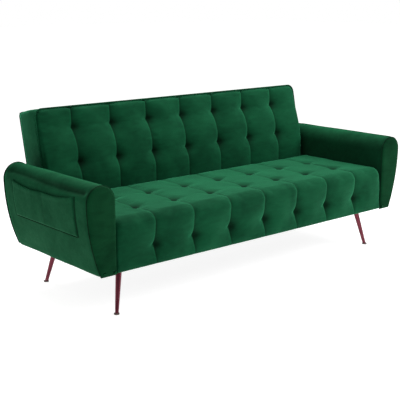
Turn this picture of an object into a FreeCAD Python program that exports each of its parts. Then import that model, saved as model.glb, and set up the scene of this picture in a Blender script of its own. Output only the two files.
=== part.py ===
import FreeCAD, Part
import math
import os

# Click-clack sofa bed: two arms with side pockets, a tufted seat, and a tufted back that folds flat between
# the arms on a ratchet hinge at each end.
# Frame: +X to the sitter's left seen from the front, the front faces -Y, +Z up, and the origin is on the
# floor under the middle of the upright sofa's box. Sizes are millimetres.

# ---- Overall sizes -----------------------------------------------------------------------------------------
overall_width = 2080.0        # over both arms, pockets not counted
overall_depth = 820.0         # arm fronts to the rear edge of the upright back
overall_height = 852.0        # floor to the back's top edge
seat_height = 446.0           # floor to the top of the seat cushion
underside_height = 209.0      # floor to the bottom of the seat frame and arms

# ---- Arms ----------------------------------------------------------------------------------------------------
arm_width = 143.0             # at the top
arm_foot_width = 79.0         # at the bottom, where the outer side has curved inwards
arm_height = 608.0            # floor to the crest
arm_length = 712.0            # front panel to rear panel
arm_padding = 14.0            # foam and cover over the arm's frame
arm_panel_thickness = 12.0    # padded panel on each end of an arm
arm_board = 18.0              # plywood of the arm's frame
arm_top_rail_width = 70.0
arm_top_rail_height = 25.0

# ---- Arm pockets ---------------------------------------------------------------------------------------------
pocket_front_inset = 96.0     # arm front to the pocket's front edge
pocket_rear_inset = 90.0      # arm rear to the pocket's rear edge
pocket_bottom = 375.0         # height of the pocket's lower seam above the floor
pocket_top = 545.0            # height of the mouth above the floor
pocket_gap = 9.0              # room between the arm and the pocket's panel
pocket_cloth = 2.5            # lined double cloth
pocket_seam = 3.0             # sewn strip that closes the bottom, ends and middle

# ---- Seat ----------------------------------------------------------------------------------------------------
rail_height = 36.0            # base rails, laid flat
base_rail_width = 46.0        # front and rear base rails
base_side_width = 110.0       # side base rails, wide enough for the leg plates
board = 22.0                  # upright boards of the seat box
board_top_below_seat = 61.0   # seat top to the top edge of the boards
seat_front_setback = 4.0      # seat front behind the arm fronts
apron_thickness = 34.0        # foam in front of the front board
base_rear_inset = 32.0        # arm rear to the rear base rail
seat_overhang = 25.0          # cushion beyond the rear board
seat_lip = 16.0               # how far the cushion's top leans back towards the back
seat_front_round = 45.0
seat_rear_round = 18.0
seat_side_gap = 3.0           # cushion to arm
felt_thickness = 3.0
dust_cover_thickness = 2.0

# ---- Springs -------------------------------------------------------------------------------------------------
wire = 3.8                    # spring wire diameter
spring_pitch = 45.0           # one zigzag run to the next
spring_run = 30.0             # straight part of a run
seat_spring_count = 10
back_spring_count = 7
clip_sheet = 1.5
clip_length = 34.0
clip_depth = 18.0
wire_play = 0.1               # wire to clip

# ---- Legs ----------------------------------------------------------------------------------------------------
leg_top_radius = 15.0
leg_foot_radius = 8.3
leg_wall = 1.5
leg_inset_x = 229.0           # leg top in from the outside of the arms
leg_front_inset = 111.0       # leg top back from the arm fronts
leg_rear_inset = 86.0         # leg top forward of the arm rears
leg_splay_x = 0.225           # outward lean, millimetres per millimetre of height
leg_splay_y = 0.200
leg_plate = 70.0
leg_plate_thickness = 4.0
glide_radius = 12.5
glide_height = 6.0
screw_radius = 2.5
screw_length = 24.0
screw_head_radius = 5.0
screw_head_height = 3.0
screw_inset = 10.0            # screw centre in from the plate's edge

# ---- Back ----------------------------------------------------------------------------------------------------
back_lean = 11.9              # degrees from upright at rest
back_lift = 8.0               # degrees forward of rest, where the ratchet lets go
back_thickness = 156.0
back_end_gap = 25.0           # back end to arm, room for the hinge
pivot_behind_face = 85.0
back_below_pivot = 80.0
back_top_round = 20.0
back_foot_round = 50.0        # rounded lower front edge that passes the seat
back_border = 10.0            # foam over the frame's ends, top and bottom
back_rail_width = 32.0
back_rail_depth = 80.0
back_foam_gap = 2.0           # spring clips to foam
back_panel_thickness = 5.0    # covered board over the rear of the frame
back_clearance = 4.0          # seat to the sweep of the back

# ---- Hinges --------------------------------------------------------------------------------------------------
back_leaf_thickness = 3.0
seat_leaf_thickness = 4.0
leaf_gap = 1.0                # between the two leaves
leaf_hub_radius = 27.0        # round the hinge pin
leaf_tab_radius = 20.0        # round the bolts
hinge_bolt_spacing = 80.0
hinge_pin_radius = 6.0
hinge_pin_play = 0.05         # radial
pin_head_radius = 10.0
pin_head_height = 4.0
ratchet_radius = 30.0
ratchet_thickness = 4.0
ratchet_gap = 0.6             # seat leaf to ratchet
notch_depth = 4.0
notch_angles = (0.0, 34.0, 78.0)     # upright, lounge and flat
pawl_stud_radius = 4.0
pawl_play = 0.05              # radial
pawl_tip_radius = 3.0
pawl_hub_radius = 9.0
pawl_rim_clearance = 0.4
pawl_stud_forward = 60.0      # stud from the hinge axis
pawl_stud_up = 25.0
spring_wire = 1.6
bolt_radius = 4.0
bolt_head_radius = 7.5
bolt_head_height = 4.0
back_bolt_head_height = 2.6   # low heads
back_bolt_grip = 26.0         # into the back's side rail
nut_height = 6.0

# ---- Bolts that hold the arms ------------------------------------------------------------------------------
arm_bolt_count = 3
arm_spacer_front_inset = 40.0
arm_spacer_gap = 12.0         # spacer to seat hinge leaf

# ---- Worked out from the sizes above ------------------------------------------------------------------------
front_y = -overall_depth / 2.0
arm_rear_y = front_y + arm_length
arm_inner_x = overall_width / 2.0 - arm_width
arm_arch_z = arm_height - arm_width / 2.0
arm_taper = arm_width - arm_foot_width
arm_side_radius = (arm_taper ** 2 + (arm_arch_z - underside_height) ** 2) / (2.0 * arm_taper)

base_z = underside_height + dust_cover_thickness
box_z = base_z + rail_height
board_top = seat_height - board_top_below_seat
clip_height = wire + 2.0 * (clip_sheet + wire_play)
spring_z = board_top + clip_height / 2.0
felt_z = board_top + clip_height
cushion_z = felt_z + felt_thickness

lean = math.radians(back_lean)
pivot_z = seat_height - pivot_behind_face
back_length = back_top_round + (
    overall_height - back_top_round - (pivot_behind_face - back_top_round) * math.sin(lean) - pivot_z
) / math.cos(lean)
back_rear = back_thickness - pivot_behind_face
pivot_y = overall_depth / 2.0 - back_top_round - (
    (back_rear - back_top_round) * math.cos(lean) + (back_length - back_top_round) * math.sin(lean)
)
foot_sweep = back_foot_round + math.hypot(
    pivot_behind_face - back_foot_round, back_below_pivot - back_foot_round
)
seat_rear_y = pivot_y - foot_sweep - back_clearance
seat_face_y = front_y + seat_front_setback
box_front_y = seat_face_y + apron_thickness
box_rear_y = seat_rear_y - seat_overhang
base_rear_y = arm_rear_y - base_rear_inset

back_half = arm_inner_x - back_end_gap
box_half = back_half + back_leaf_thickness + leaf_gap
seat_leaf_x = box_half
ratchet_x = seat_leaf_x + seat_leaf_thickness + ratchet_gap
pin_head_x = ratchet_x + ratchet_thickness
inner_half = box_half - board
seat_half = arm_inner_x - seat_side_gap

frame_rear = back_rear - back_panel_thickness
frame_front = frame_rear - back_rail_depth
frame_half = back_half - back_border
frame_top = back_length - back_border
frame_foot = -back_below_pivot + back_border

SIDES = (("left", -1.0), ("right", 1.0))
X_AXIS = FreeCAD.Vector(1, 0, 0)
ORIGIN = FreeCAD.Vector(0, 0, 0)


# ---- Shape helpers -------------------------------------------------------------------------------------------
def block(x0, x1, y0, y1, z0, z1):
    """A box between two opposite corners, in any order."""
    low = FreeCAD.Vector(min(x0, x1), min(y0, y1), min(z0, z1))
    return Part.makeBox(abs(x1 - x0), abs(y1 - y0), abs(z1 - z0), low)


def rod(radius, x0, x1, y, z):
    """A cylinder along X."""
    return Part.makeCylinder(radius, abs(x1 - x0), FreeCAD.Vector(min(x0, x1), y, z), X_AXIS)


def post(radius, x, y, z0, z1):
    """A cylinder along Z."""
    return Part.makeCylinder(radius, z1 - z0, FreeCAD.Vector(x, y, z0))


def rounded_wire(corners):
    """A closed wire in the YZ plane. Each corner is (y, z, radius); radius 0 leaves it sharp."""
    points = [FreeCAD.Vector(0, y, z) for y, z, _ in corners]
    ends = []
    for i, (_, _, radius) in enumerate(corners):
        here = points[i]
        back = (points[i - 1] - here).normalize()
        ahead = (points[(i + 1) % len(points)] - here).normalize()
        if radius == 0:
            ends.append((here, None, here))
            continue
        half = back.getAngle(ahead) / 2.0
        reach = radius / math.tan(half)
        bisector = (back + ahead).normalize()
        middle = here + bisector * (radius / math.sin(half) - radius)
        ends.append((here + back * reach, middle, here + ahead * reach))
    edges = []
    for i, (start, middle, end) in enumerate(ends):
        if middle is not None:
            edges.append(Part.Arc(start, middle, end).toShape())
        following = ends[(i + 1) % len(ends)][0]
        edges.append(Part.makeLine(end, following))
    return Part.Wire(edges)


def extrude_x(wire_yz, x0, x1):
    """A YZ outline drawn at x = 0, extruded from x0 to x1."""
    solid = Part.Face(wire_yz).extrude(FreeCAD.Vector(abs(x1 - x0), 0, 0))
    solid.translate(FreeCAD.Vector(min(x0, x1), 0, 0))
    return solid


def link(y0, z0, r0, y1, z1, r1, x0, x1):
    """A flat link square to X: two round ends joined by their outer tangents."""
    distance = math.hypot(y1 - y0, z1 - z0)
    direction = math.atan2(z1 - z0, y1 - y0)
    spread = math.acos((r0 - r1) / distance)
    quad = []
    for centre_y, centre_z, radius, sign in (
        (y0, z0, r0, 1), (y1, z1, r1, 1), (y1, z1, r1, -1), (y0, z0, r0, -1),
    ):
        angle = direction + sign * spread
        quad.append((centre_y + radius * math.cos(angle), centre_z + radius * math.sin(angle), 0))
    body = extrude_x(rounded_wire(quad), x0, x1)
    return body.fuse([rod(r0, x0, x1, y0, z0), rod(r1, x0, x1, y1, z1)]).removeSplitter()


def mirrored(shape):
    """The same shape on the other side of the sofa."""
    return shape.mirror(ORIGIN, X_AXIS)


def both_sides(name, shape):
    """Adds a right-hand shape and its mirror image as two nodes."""
    parts[name + "_right"] = shape
    parts[name + "_left"] = mirrored(shape)


def grouped(shapes):
    """Separate solids kept together as one node."""
    return Part.makeCompound([solid for shape in shapes for solid in shape.Solids])


def lean_back(shape):
    """Moves a shape from the back's own frame, whose origin is the hinge axis, to its upright place."""
    placed = shape.copy()
    placed.rotate(ORIGIN, X_AXIS, -back_lean)
    placed.translate(FreeCAD.Vector(0, pivot_y, pivot_z))
    return placed


# ---- Arms ----------------------------------------------------------------------------------------------------
def arm_prism(inset, y0, y1):
    """The right arm's section, drawn in by inset, between two stations along the arm."""
    inner = arm_inner_x + inset
    outer = arm_inner_x + arm_width - inset
    foot_z = underside_height + max(inset, 0.0)
    side_centre = arm_inner_x + arm_width - arm_side_radius
    radius = arm_side_radius - inset

    def side_x(z):
        return side_centre + math.sqrt(radius ** 2 - (arm_arch_z - z) ** 2)

    def at(x, z):
        return FreeCAD.Vector(x, 0, z)

    middle_z = (foot_z + arm_arch_z) / 2.0
    crest = at((inner + outer) / 2.0, arm_height - inset)
    edges = [
        Part.makeLine(at(inner, foot_z), at(inner, arm_arch_z)),
        Part.Arc(at(inner, arm_arch_z), crest, at(outer, arm_arch_z)).toShape(),
        Part.Arc(at(outer, arm_arch_z), at(side_x(middle_z), middle_z), at(side_x(foot_z), foot_z)).toShape(),
        Part.makeLine(at(side_x(foot_z), foot_z), at(inner, foot_z)),
    ]
    solid = Part.Face(Part.Wire(edges)).extrude(FreeCAD.Vector(0, y1 - y0, 0))
    solid.translate(FreeCAD.Vector(0, y0, 0))
    return solid


def make_arms():
    body_front = front_y + arm_panel_thickness
    body_rear = arm_rear_y - arm_panel_thickness
    cover = arm_prism(0.0, body_front, body_rear).cut(arm_prism(arm_padding, body_front, body_rear))
    front_former = arm_prism(arm_padding, body_front, body_front + arm_board)
    rear_former = arm_prism(arm_padding, body_rear - arm_board, body_rear)
    frame_x = arm_inner_x + arm_padding
    inner_board = block(
        frame_x, frame_x + arm_board, body_front + arm_board, body_rear - arm_board,
        underside_height + arm_padding, arm_arch_z,
    )
    middle_x = arm_inner_x + arm_width / 2.0
    top_rail = block(
        middle_x - arm_top_rail_width / 2.0, middle_x + arm_top_rail_width / 2.0,
        body_front + arm_board, body_rear - arm_board, arm_arch_z, arm_arch_z + arm_top_rail_height,
    )
    both_sides("arm_cover", cover.cut(arm_bolts()))
    both_sides("arm_end_formers", grouped([front_former, rear_former]))
    both_sides("arm_inner_board", inner_board.cut(arm_bolts()))
    both_sides("arm_top_rail", top_rail)
    both_sides("arm_front_panel", arm_prism(0.0, front_y, body_front))
    both_sides("arm_rear_panel", arm_prism(0.0, body_rear, arm_rear_y))


def make_pockets():
    """A cloth panel sewn to the arm along its bottom, its ends and its middle, open at the top."""
    y0 = front_y + pocket_front_inset
    y1 = arm_rear_y - pocket_rear_inset
    outer_half = block(
        arm_inner_x + arm_width / 2.0, overall_width, y0, y1, pocket_bottom, pocket_top
    )
    panel = arm_prism(-pocket_gap - pocket_cloth, y0, y1).cut(arm_prism(-pocket_gap, y0, y1))
    room = arm_prism(-pocket_gap, y0, y1).cut(arm_prism(0.0, y0, y1)).common(outer_half)
    bottom = block(0, overall_width, y0, y1, pocket_bottom, pocket_bottom + pocket_seam)
    seams = [bottom]
    middle = (y0 + y1 - pocket_seam) / 2.0
    for start in (y0, middle, y1 - pocket_seam):
        seams.append(block(0, overall_width, start, start + pocket_seam, pocket_bottom, pocket_top))
    closed = room.common(seams[0].fuse(seams[1:]))
    both_sides("arm_pocket", panel.common(outer_half).fuse(closed).removeSplitter())


# ---- Seat ----------------------------------------------------------------------------------------------------
def make_base():
    """Flat rails under the seat box, which also carry the legs."""
    side = block(box_half - base_side_width, box_half, box_front_y, base_rear_y, base_z, box_z)
    both_sides("base_side_rail", side.cut(leg_screws()))
    cross = box_half - base_side_width
    parts["base_front_rail"] = block(
        -cross, cross, box_front_y, box_front_y + base_rail_width, base_z, box_z
    )
    parts["base_rear_rail"] = block(
        -cross, cross, base_rear_y - base_rail_width, base_rear_y, base_z, box_z
    )
    dust_cover = block(-box_half, box_half, box_front_y, base_rear_y, underside_height, base_z)
    parts["dust_cover"] = dust_cover.cut(leg_screws()).cut(mirrored(leg_screws()))


def make_seat_box():
    """Upright boards that the springs stretch between."""
    parts["seat_front_board"] = block(
        -inner_half, inner_half, box_front_y, box_front_y + board, box_z, board_top
    )
    parts["seat_rear_board"] = block(
        -inner_half, inner_half, box_rear_y - board, box_rear_y, box_z, board_top
    )
    parts["seat_centre_board"] = block(
        -board / 2.0, board / 2.0, box_front_y + board, box_rear_y - board, box_z, board_top - wire * 4.0
    )
    side = block(inner_half, box_half, box_front_y, box_rear_y, box_z, board_top)
    both_sides("seat_side_board", side.cut(arm_bolts()).cut(seat_hinge_bolts()))
    spacer = block(box_half, arm_inner_x, *spacer_ends(), box_z, board_top)
    both_sides("arm_spacer", spacer.cut(arm_bolts()))


def make_seat_cushion():
    """Foam over the springs that turns down over the front board."""
    outline = rounded_wire([
        (seat_face_y, base_z, 0),
        (seat_face_y, seat_height, seat_front_round),
        (seat_rear_y + seat_lip, seat_height, seat_rear_round),
        (seat_rear_y, cushion_z, 0),
        (box_front_y, cushion_z, 0),
        (box_front_y, base_z, 0),
    ])
    parts["seat_cushion"] = extrude_x(outline, -seat_half, seat_half)
    parts["seat_felt"] = block(-box_half, box_half, box_front_y, box_rear_y, felt_z, cushion_z)


# ---- Springs -------------------------------------------------------------------------------------------------
def sinuous_spring(span):
    """A zigzag spring along +Y from y = 0, centred on x = 0 and z = 0, that fits in span."""
    runs = int(span // spring_pitch) // 2 * 2 + 1
    pitch = span / (runs - 1)
    turn = pitch / 2.0
    edges = []
    for i in range(runs):
        side = 1.0 if i % 2 == 0 else -1.0
        y = i * pitch
        start = FreeCAD.Vector(-side * spring_run / 2.0, y, 0)
        end = FreeCAD.Vector(side * spring_run / 2.0, y, 0)
        edges.append(Part.makeLine(start, end))
        if i < runs - 1:
            top = FreeCAD.Vector(side * (spring_run / 2.0 + turn), y + turn, 0)
            edges.append(Part.Arc(end, top, end + FreeCAD.Vector(0, pitch, 0)).toShape())
    path = Part.Wire(edges)
    section = Part.Wire(Part.makeCircle(wire / 2.0, edges[0].Vertexes[0].Point, X_AXIS))
    return path.makePipeShell([section], True, True)


def spring_clip(y, mouth):
    """A folded clip round one straight run at y, closed on the side away from the spring's span."""
    half = clip_height / 2.0
    near = y - mouth * half
    far = near + mouth * clip_depth
    shell = block(-clip_length / 2.0, clip_length / 2.0, near, far, -half, half)
    slot = block(
        -clip_length / 2.0, clip_length / 2.0, near + mouth * clip_sheet, far,
        clip_sheet - half, half - clip_sheet,
    )
    return shell.cut(slot)


def spring_row(count, half_width, span):
    """A row of springs side by side, and the clips at both ends of each."""
    spring = sinuous_spring(span)
    clips = [spring_clip(0.0, 1.0), spring_clip(span, -1.0)]
    springs_made = []
    clips_made = []
    for i in range(count):
        shift = FreeCAD.Vector((i + 0.5) / count * 2.0 * half_width - half_width, 0, 0)
        springs_made.append(spring.copy())
        springs_made[-1].translate(shift)
        for clip in clips:
            clips_made.append(clip.copy())
            clips_made[-1].translate(shift)
    return grouped(springs_made), grouped(clips_made)


def make_seat_springs():
    start = box_front_y + board / 2.0
    rows = spring_row(seat_spring_count, inner_half, box_rear_y - board / 2.0 - start)
    for name, row in zip(("seat_springs", "seat_spring_clips"), rows):
        row.translate(FreeCAD.Vector(0, start, spring_z))
        parts[name] = row


def make_back_springs():
    """The back's springs run up the front of its frame."""
    start = frame_foot + back_rail_width / 2.0
    rows = spring_row(back_spring_count, frame_half - back_rail_width, frame_top - back_rail_width / 2.0 - start)
    for name, row in zip(("back_springs", "back_spring_clips"), rows):
        row.rotate(ORIGIN, X_AXIS, 90)
        row.translate(FreeCAD.Vector(0, frame_front - clip_height / 2.0, start))
        parts[name] = lean_back(row)


# ---- Legs ----------------------------------------------------------------------------------------------------
plate_z = underside_height - leg_plate_thickness


def leg_tops():
    """Centres of the two right-hand leg plates, with the way each leg leans along Y."""
    x = overall_width / 2.0 - leg_inset_x
    return (
        ("front", x, front_y + leg_front_inset, -1.0),
        ("rear", x, arm_rear_y - leg_rear_inset, 1.0),
    )


def tapered_leg(x, y, way, inset):
    """A leg's cone, drawn in by inset, that leans outwards from its plate down to its glide."""
    lean_vector = FreeCAD.Vector(leg_splay_x, way * leg_splay_y, -1.0)
    stretch = lean_vector.Length
    height = plate_z - glide_height
    taper = (leg_top_radius - leg_foot_radius) / height
    extra = leg_top_radius
    start = FreeCAD.Vector(x, y, plate_z) - lean_vector * extra
    cone = Part.makeCone(
        leg_top_radius + taper * extra - inset, leg_foot_radius - taper * extra - inset,
        (height + 2.0 * extra) * stretch, start, lean_vector,
    )
    reach = overall_height
    slab = block(x - reach, x + reach, y - reach, y + reach, glide_height, plate_z)
    return cone.common(slab)


def leg_screws():
    """Screws of both right-hand legs."""
    screws = []
    offset = leg_plate / 2.0 - screw_inset
    for _, x, y, _ in leg_tops():
        for dx in (-offset, offset):
            for dy in (-offset, offset):
                shank = post(screw_radius, x + dx, y + dy, plate_z, plate_z + screw_length)
                head = post(screw_head_radius, x + dx, y + dy, plate_z - screw_head_height, plate_z)
                screws.append(shank.fuse(head).removeSplitter())
    return grouped(screws)


def make_legs():
    screws = leg_screws()
    glides = []
    for end, x, y, way in leg_tops():
        half = leg_plate / 2.0
        plate = block(x - half, x + half, y - half, y + half, plate_z, underside_height)
        tube = tapered_leg(x, y, way, 0.0).cut(tapered_leg(x, y, way, leg_wall))
        both_sides("leg_" + end, plate.fuse(tube).cut(screws))
        drop = plate_z
        foot_x = x + leg_splay_x * drop
        foot_y = y + way * leg_splay_y * drop
        glides.append(post(glide_radius, foot_x, foot_y, 0.0, glide_height))
    parts["leg_screws"] = grouped([screws, mirrored(screws)])
    parts["foot_glides"] = grouped(glides + [mirrored(glide) for glide in glides])


# ---- Bolts that hold the arms and hinges --------------------------------------------------------------------
def spacer_ends():
    """Front and rear of the spacer between the seat box and an arm, which stops short of the hinge."""
    leaf_front = seat_leaf_points()[2][0] - leaf_tab_radius
    return front_y + arm_spacer_front_inset, leaf_front - arm_spacer_gap


def arm_bolts():
    """Bolts from inside the seat box into the right arm's inner board."""
    bolts = []
    z = (box_z + board_top) / 2.0
    end_x = arm_inner_x + arm_padding + arm_board
    y0, y1 = spacer_ends()
    for i in range(arm_bolt_count):
        y = y0 + (y1 - y0) * (i + 0.5) / arm_bolt_count
        shank = rod(bolt_radius, inner_half, end_x, y, z)
        head = rod(bolt_head_radius, inner_half - bolt_head_height, inner_half, y, z)
        bolts.append(shank.fuse(head).removeSplitter())
    return grouped(bolts)


def seat_leaf_points():
    """Hinge axis, then the two bolt places on the side board, as (y, z)."""
    middle_z = (box_z + board_top) / 2.0
    rear_y = box_rear_y - board - leaf_tab_radius
    return (pivot_y, pivot_z), (rear_y, middle_z), (rear_y - hinge_bolt_spacing, middle_z)


def seat_hinge_bolts():
    """Bolts through the right seat leaf and side board, with nuts inside the seat box."""
    outer = seat_leaf_x + seat_leaf_thickness
    bolts = []
    for y, z in seat_leaf_points()[1:]:
        shank = rod(bolt_radius, inner_half, outer, y, z)
        head = rod(bolt_head_radius, outer, outer + bolt_head_height, y, z)
        nut = rod(bolt_head_radius, inner_half - nut_height, inner_half, y, z)
        bolts.append(shank.fuse([head, nut]).removeSplitter())
    return grouped(bolts)


def back_leaf_points():
    """The two bolt places on the back's side rail, in the back's own frame, as (y, z)."""
    rail_y = (frame_front + frame_rear) / 2.0
    return (rail_y, hinge_bolt_spacing), (rail_y, 2.0 * hinge_bolt_spacing)


def back_hinge_bolts():
    """Bolts through the right back leaf, the cover and the side rail, in the back's own frame."""
    outer = back_half + back_leaf_thickness
    bolts = []
    for y, z in back_leaf_points():
        shank = rod(bolt_radius, frame_half - back_bolt_grip, outer, y, z)
        head = rod(bolt_head_radius, outer, outer + back_bolt_head_height, y, z)
        bolts.append(shank.fuse(head).removeSplitter())
    return grouped(bolts)


# ---- Hinges --------------------------------------------------------------------------------------------------
def pawl_stud():
    """Centre of the pawl's stud, as (y, z)."""
    return pivot_y - pawl_stud_forward, pivot_z + pawl_stud_up


def make_seat_leaf():
    """Plate on the seat's side board that carries the hinge pin's bearing and the pawl's stud."""
    pivot, rear_bolt, front_bolt = seat_leaf_points()
    x0 = seat_leaf_x
    x1 = x0 + seat_leaf_thickness
    tab = leaf_tab_radius
    arm = link(*pivot, leaf_hub_radius, *rear_bolt, tab, x0, x1)
    foot = link(*rear_bolt, tab, *front_bolt, tab, x0, x1)
    stud_y, stud_z = pawl_stud()
    lug = link(stud_y, stud_z, pawl_hub_radius, *rear_bolt, tab, x0, x1)
    stud = rod(pawl_stud_radius, x1, pin_head_x + spring_wire * 4.0, stud_y, stud_z)
    bore = rod(hinge_pin_radius + hinge_pin_play, x0, x1, *pivot)
    leaf = arm.fuse([foot, lug, stud]).cut(bore).cut(seat_hinge_bolts())
    both_sides("seat_hinge_leaf", leaf)


def make_back_leaf():
    """Plate on the end of the back that the hinge pin is riveted to."""
    x0 = back_half
    x1 = x0 + back_leaf_thickness
    tab = leaf_tab_radius
    low, high = back_leaf_points()
    arm = link(0.0, 0.0, leaf_hub_radius, *low, tab, x0, x1)
    foot = link(*low, tab, *high, tab, x0, x1)
    leaf = arm.fuse(foot).cut(rod(hinge_pin_radius, x0, x1, 0.0, 0.0)).cut(back_hinge_bolts())
    both_sides("back_hinge_leaf", lean_back(leaf))


def make_pin_and_ratchet():
    """The pin turns with the back and carries the ratchet outside the seat leaf."""
    pin = rod(hinge_pin_radius, back_half, pin_head_x, 0.0, 0.0)
    head = rod(pin_head_radius, pin_head_x, pin_head_x + pin_head_height, 0.0, 0.0)
    both_sides("hinge_pin", lean_back(pin.fuse(head).removeSplitter()))
    disc = rod(ratchet_radius, ratchet_x, pin_head_x, pivot_y, pivot_z)
    centre = FreeCAD.Vector(0, pivot_y, pivot_z)
    rim = pivot_y - ratchet_radius
    for angle in notch_angles:
        notch = extrude_x(rounded_wire([
            (rim - 1.0, pivot_z + notch_depth, 0),
            (rim + notch_depth, pivot_z - notch_depth, 0),
            (rim - 1.0, pivot_z - notch_depth, 0),
        ]), ratchet_x, pin_head_x)
        notch.rotate(centre, X_AXIS, angle)
        disc = disc.cut(notch)
    both_sides("ratchet", disc.cut(rod(hinge_pin_radius, ratchet_x, pin_head_x, pivot_y, pivot_z)))


def make_pawl():
    """Its tip rides just clear of the ratchet's rim, and its bore turns on the seat leaf's stud."""
    stud_y, stud_z = pawl_stud()
    tip_y = pivot_y - ratchet_radius - pawl_rim_clearance - pawl_tip_radius
    x0 = ratchet_x
    x1 = pin_head_x
    body = link(stud_y, stud_z, pawl_hub_radius, tip_y, pivot_z, pawl_tip_radius, x0, x1)
    both_sides("pawl", body.cut(rod(pawl_stud_radius + pawl_play, x0, x1, stud_y, stud_z)))


def make_pawl_springs():
    """A torsion spring on each pawl's stud: a close coil and two straight legs."""
    stud_y, stud_z = pawl_stud()
    x0 = pin_head_x + wire_play * 3.0
    x1 = x0 + spring_wire * 3.0
    outer = pawl_stud_radius + spring_wire + wire_play
    coil = rod(outer, x0, x1, stud_y, stud_z).cut(rod(outer - spring_wire, x0, x1, stud_y, stud_z))
    leg_z = stud_z + outer - spring_wire / 2.0
    reach = pawl_stud_forward / 2.0
    legs = []
    for way, x in ((1.0, x0), (-1.0, x1 - spring_wire)):
        centre = FreeCAD.Vector(x + spring_wire / 2.0, stud_y, leg_z)
        legs.append(Part.makeCylinder(spring_wire / 2.0, reach, centre, FreeCAD.Vector(0, way, 0)))
    inside = rod(outer - spring_wire, x0, x1, stud_y, stud_z)
    spring = coil.fuse(legs).cut(inside)
    parts["pawl_springs"] = grouped([spring, mirrored(spring)])


# ---- Back ----------------------------------------------------------------------------------------------------
def make_back_frame():
    """Four rails and a centre rail, in the back's own frame."""
    x_in = frame_half - back_rail_width
    side = block(x_in, frame_half, frame_front, frame_rear, frame_foot, frame_top)
    both_sides("back_side_rail", lean_back(side.cut(back_hinge_bolts())))
    parts["back_top_rail"] = lean_back(
        block(-x_in, x_in, frame_front, frame_rear, frame_top - back_rail_width, frame_top)
    )
    parts["back_bottom_rail"] = lean_back(
        block(-x_in, x_in, frame_front, frame_rear, frame_foot, frame_foot + back_rail_width)
    )
    half = back_rail_width / 2.0
    parts["back_centre_rail"] = lean_back(block(
        -half, half, frame_front + wire * 4.0, frame_rear,
        frame_foot + back_rail_width, frame_top - back_rail_width,
    ))


def make_back_cushion():
    """Foam over the front, top, bottom and ends of the back's frame, and the board behind it."""
    outline = rounded_wire([
        (-pivot_behind_face, -back_below_pivot, back_foot_round),
        (-pivot_behind_face, back_length, back_top_round),
        (back_rear, back_length, back_top_round),
        (back_rear, -back_below_pivot, back_top_round),
    ])
    foam_rear = frame_front - clip_height - back_foam_gap
    hollow = block(
        -frame_half, frame_half, foam_rear, back_rear - back_panel_thickness, frame_foot, frame_top
    )
    slab = extrude_x(outline, -back_half, back_half)
    bolts = back_hinge_bolts()
    panel = block(
        -frame_half, frame_half, back_rear - back_panel_thickness, back_rear,
        frame_foot + back_top_round, frame_top - back_top_round,
    )
    cushion = slab.cut(hollow).cut(panel).cut(bolts).cut(mirrored(bolts))
    parts["back_cushion"] = lean_back(cushion)
    parts["back_rear_panel"] = lean_back(panel)


def make_bolt_groups():
    arm = arm_bolts()
    seat = seat_hinge_bolts()
    back = lean_back(back_hinge_bolts())
    parts["arm_bolts"] = grouped([arm, mirrored(arm)])
    parts["seat_hinge_bolts"] = grouped([seat, mirrored(seat)])
    parts["back_hinge_bolts"] = grouped([back, mirrored(back)])


parts = {}
make_base()
make_seat_box()
make_seat_springs()
make_seat_cushion()
make_legs()
make_arms()
make_pockets()
make_seat_leaf()
make_back_leaf()
make_pin_and_ratchet()
make_pawl()
make_pawl_springs()
make_bolt_groups()
make_back_frame()
make_back_springs()
make_back_cushion()

os.makedirs("parts", exist_ok=True)
for node, shape in sorted(parts.items()):
    if not shape.isValid():
        raise ValueError(node + " is not a valid solid")
    shape.exportStep("parts/" + node + ".step")
print(len(parts), "nodes")
print("hinge axis y", round(pivot_y, 3), "z", round(pivot_z, 3))
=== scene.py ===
# Click-clack sofa bed: tufted velvet seat and back, padded arms with side pockets, splayed metal legs.
# Sizes are in metres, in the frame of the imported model: the front faces -Y and the floor is at z = 0.
import bmesh
import bpy
import math
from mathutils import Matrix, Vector, noise


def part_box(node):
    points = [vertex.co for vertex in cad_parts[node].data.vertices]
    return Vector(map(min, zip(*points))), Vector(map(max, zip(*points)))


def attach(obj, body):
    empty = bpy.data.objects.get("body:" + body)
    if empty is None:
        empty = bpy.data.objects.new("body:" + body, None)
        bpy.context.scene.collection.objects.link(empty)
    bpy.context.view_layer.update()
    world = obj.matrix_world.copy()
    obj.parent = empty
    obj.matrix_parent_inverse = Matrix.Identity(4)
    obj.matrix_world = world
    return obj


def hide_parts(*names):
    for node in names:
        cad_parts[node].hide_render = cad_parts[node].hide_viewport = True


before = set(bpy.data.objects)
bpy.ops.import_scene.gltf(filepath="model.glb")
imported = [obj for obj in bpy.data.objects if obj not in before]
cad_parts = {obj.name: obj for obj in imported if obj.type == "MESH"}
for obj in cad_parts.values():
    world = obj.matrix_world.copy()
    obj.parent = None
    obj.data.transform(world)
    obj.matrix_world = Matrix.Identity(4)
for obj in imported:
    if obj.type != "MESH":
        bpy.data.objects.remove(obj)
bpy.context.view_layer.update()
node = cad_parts

SIDES = (("left", -1.0), ("right", 1.0))
UP = Vector((0.0, 0.0, 1.0))
REARWARD = Vector((0.0, 1.0, 0.0))

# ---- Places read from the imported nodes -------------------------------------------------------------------
seat_low, seat_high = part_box("seat_cushion")
arm_low, arm_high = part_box("arm_cover_right")
pocket_low, pocket_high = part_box("arm_pocket_right")
arm_front_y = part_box("arm_front_panel_right")[0].y
arm_rear_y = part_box("arm_rear_panel_right")[1].y
arm_inner_x = arm_low.x
arm_outer_x = arm_high.x
arm_width = arm_outer_x - arm_inner_x
arm_foot_z = arm_low.z
arm_crest_z = arm_high.z
arm_middle_x = (arm_inner_x + arm_outer_x) / 2.0
arch_radius = arm_width / 2.0
arch_z = arm_crest_z - arch_radius
arm_foot_width = 0.079
arm_taper = arm_width - arm_foot_width
side_radius = (arm_taper ** 2 + (arch_z - arm_foot_z) ** 2) / (2.0 * arm_taper)

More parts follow.
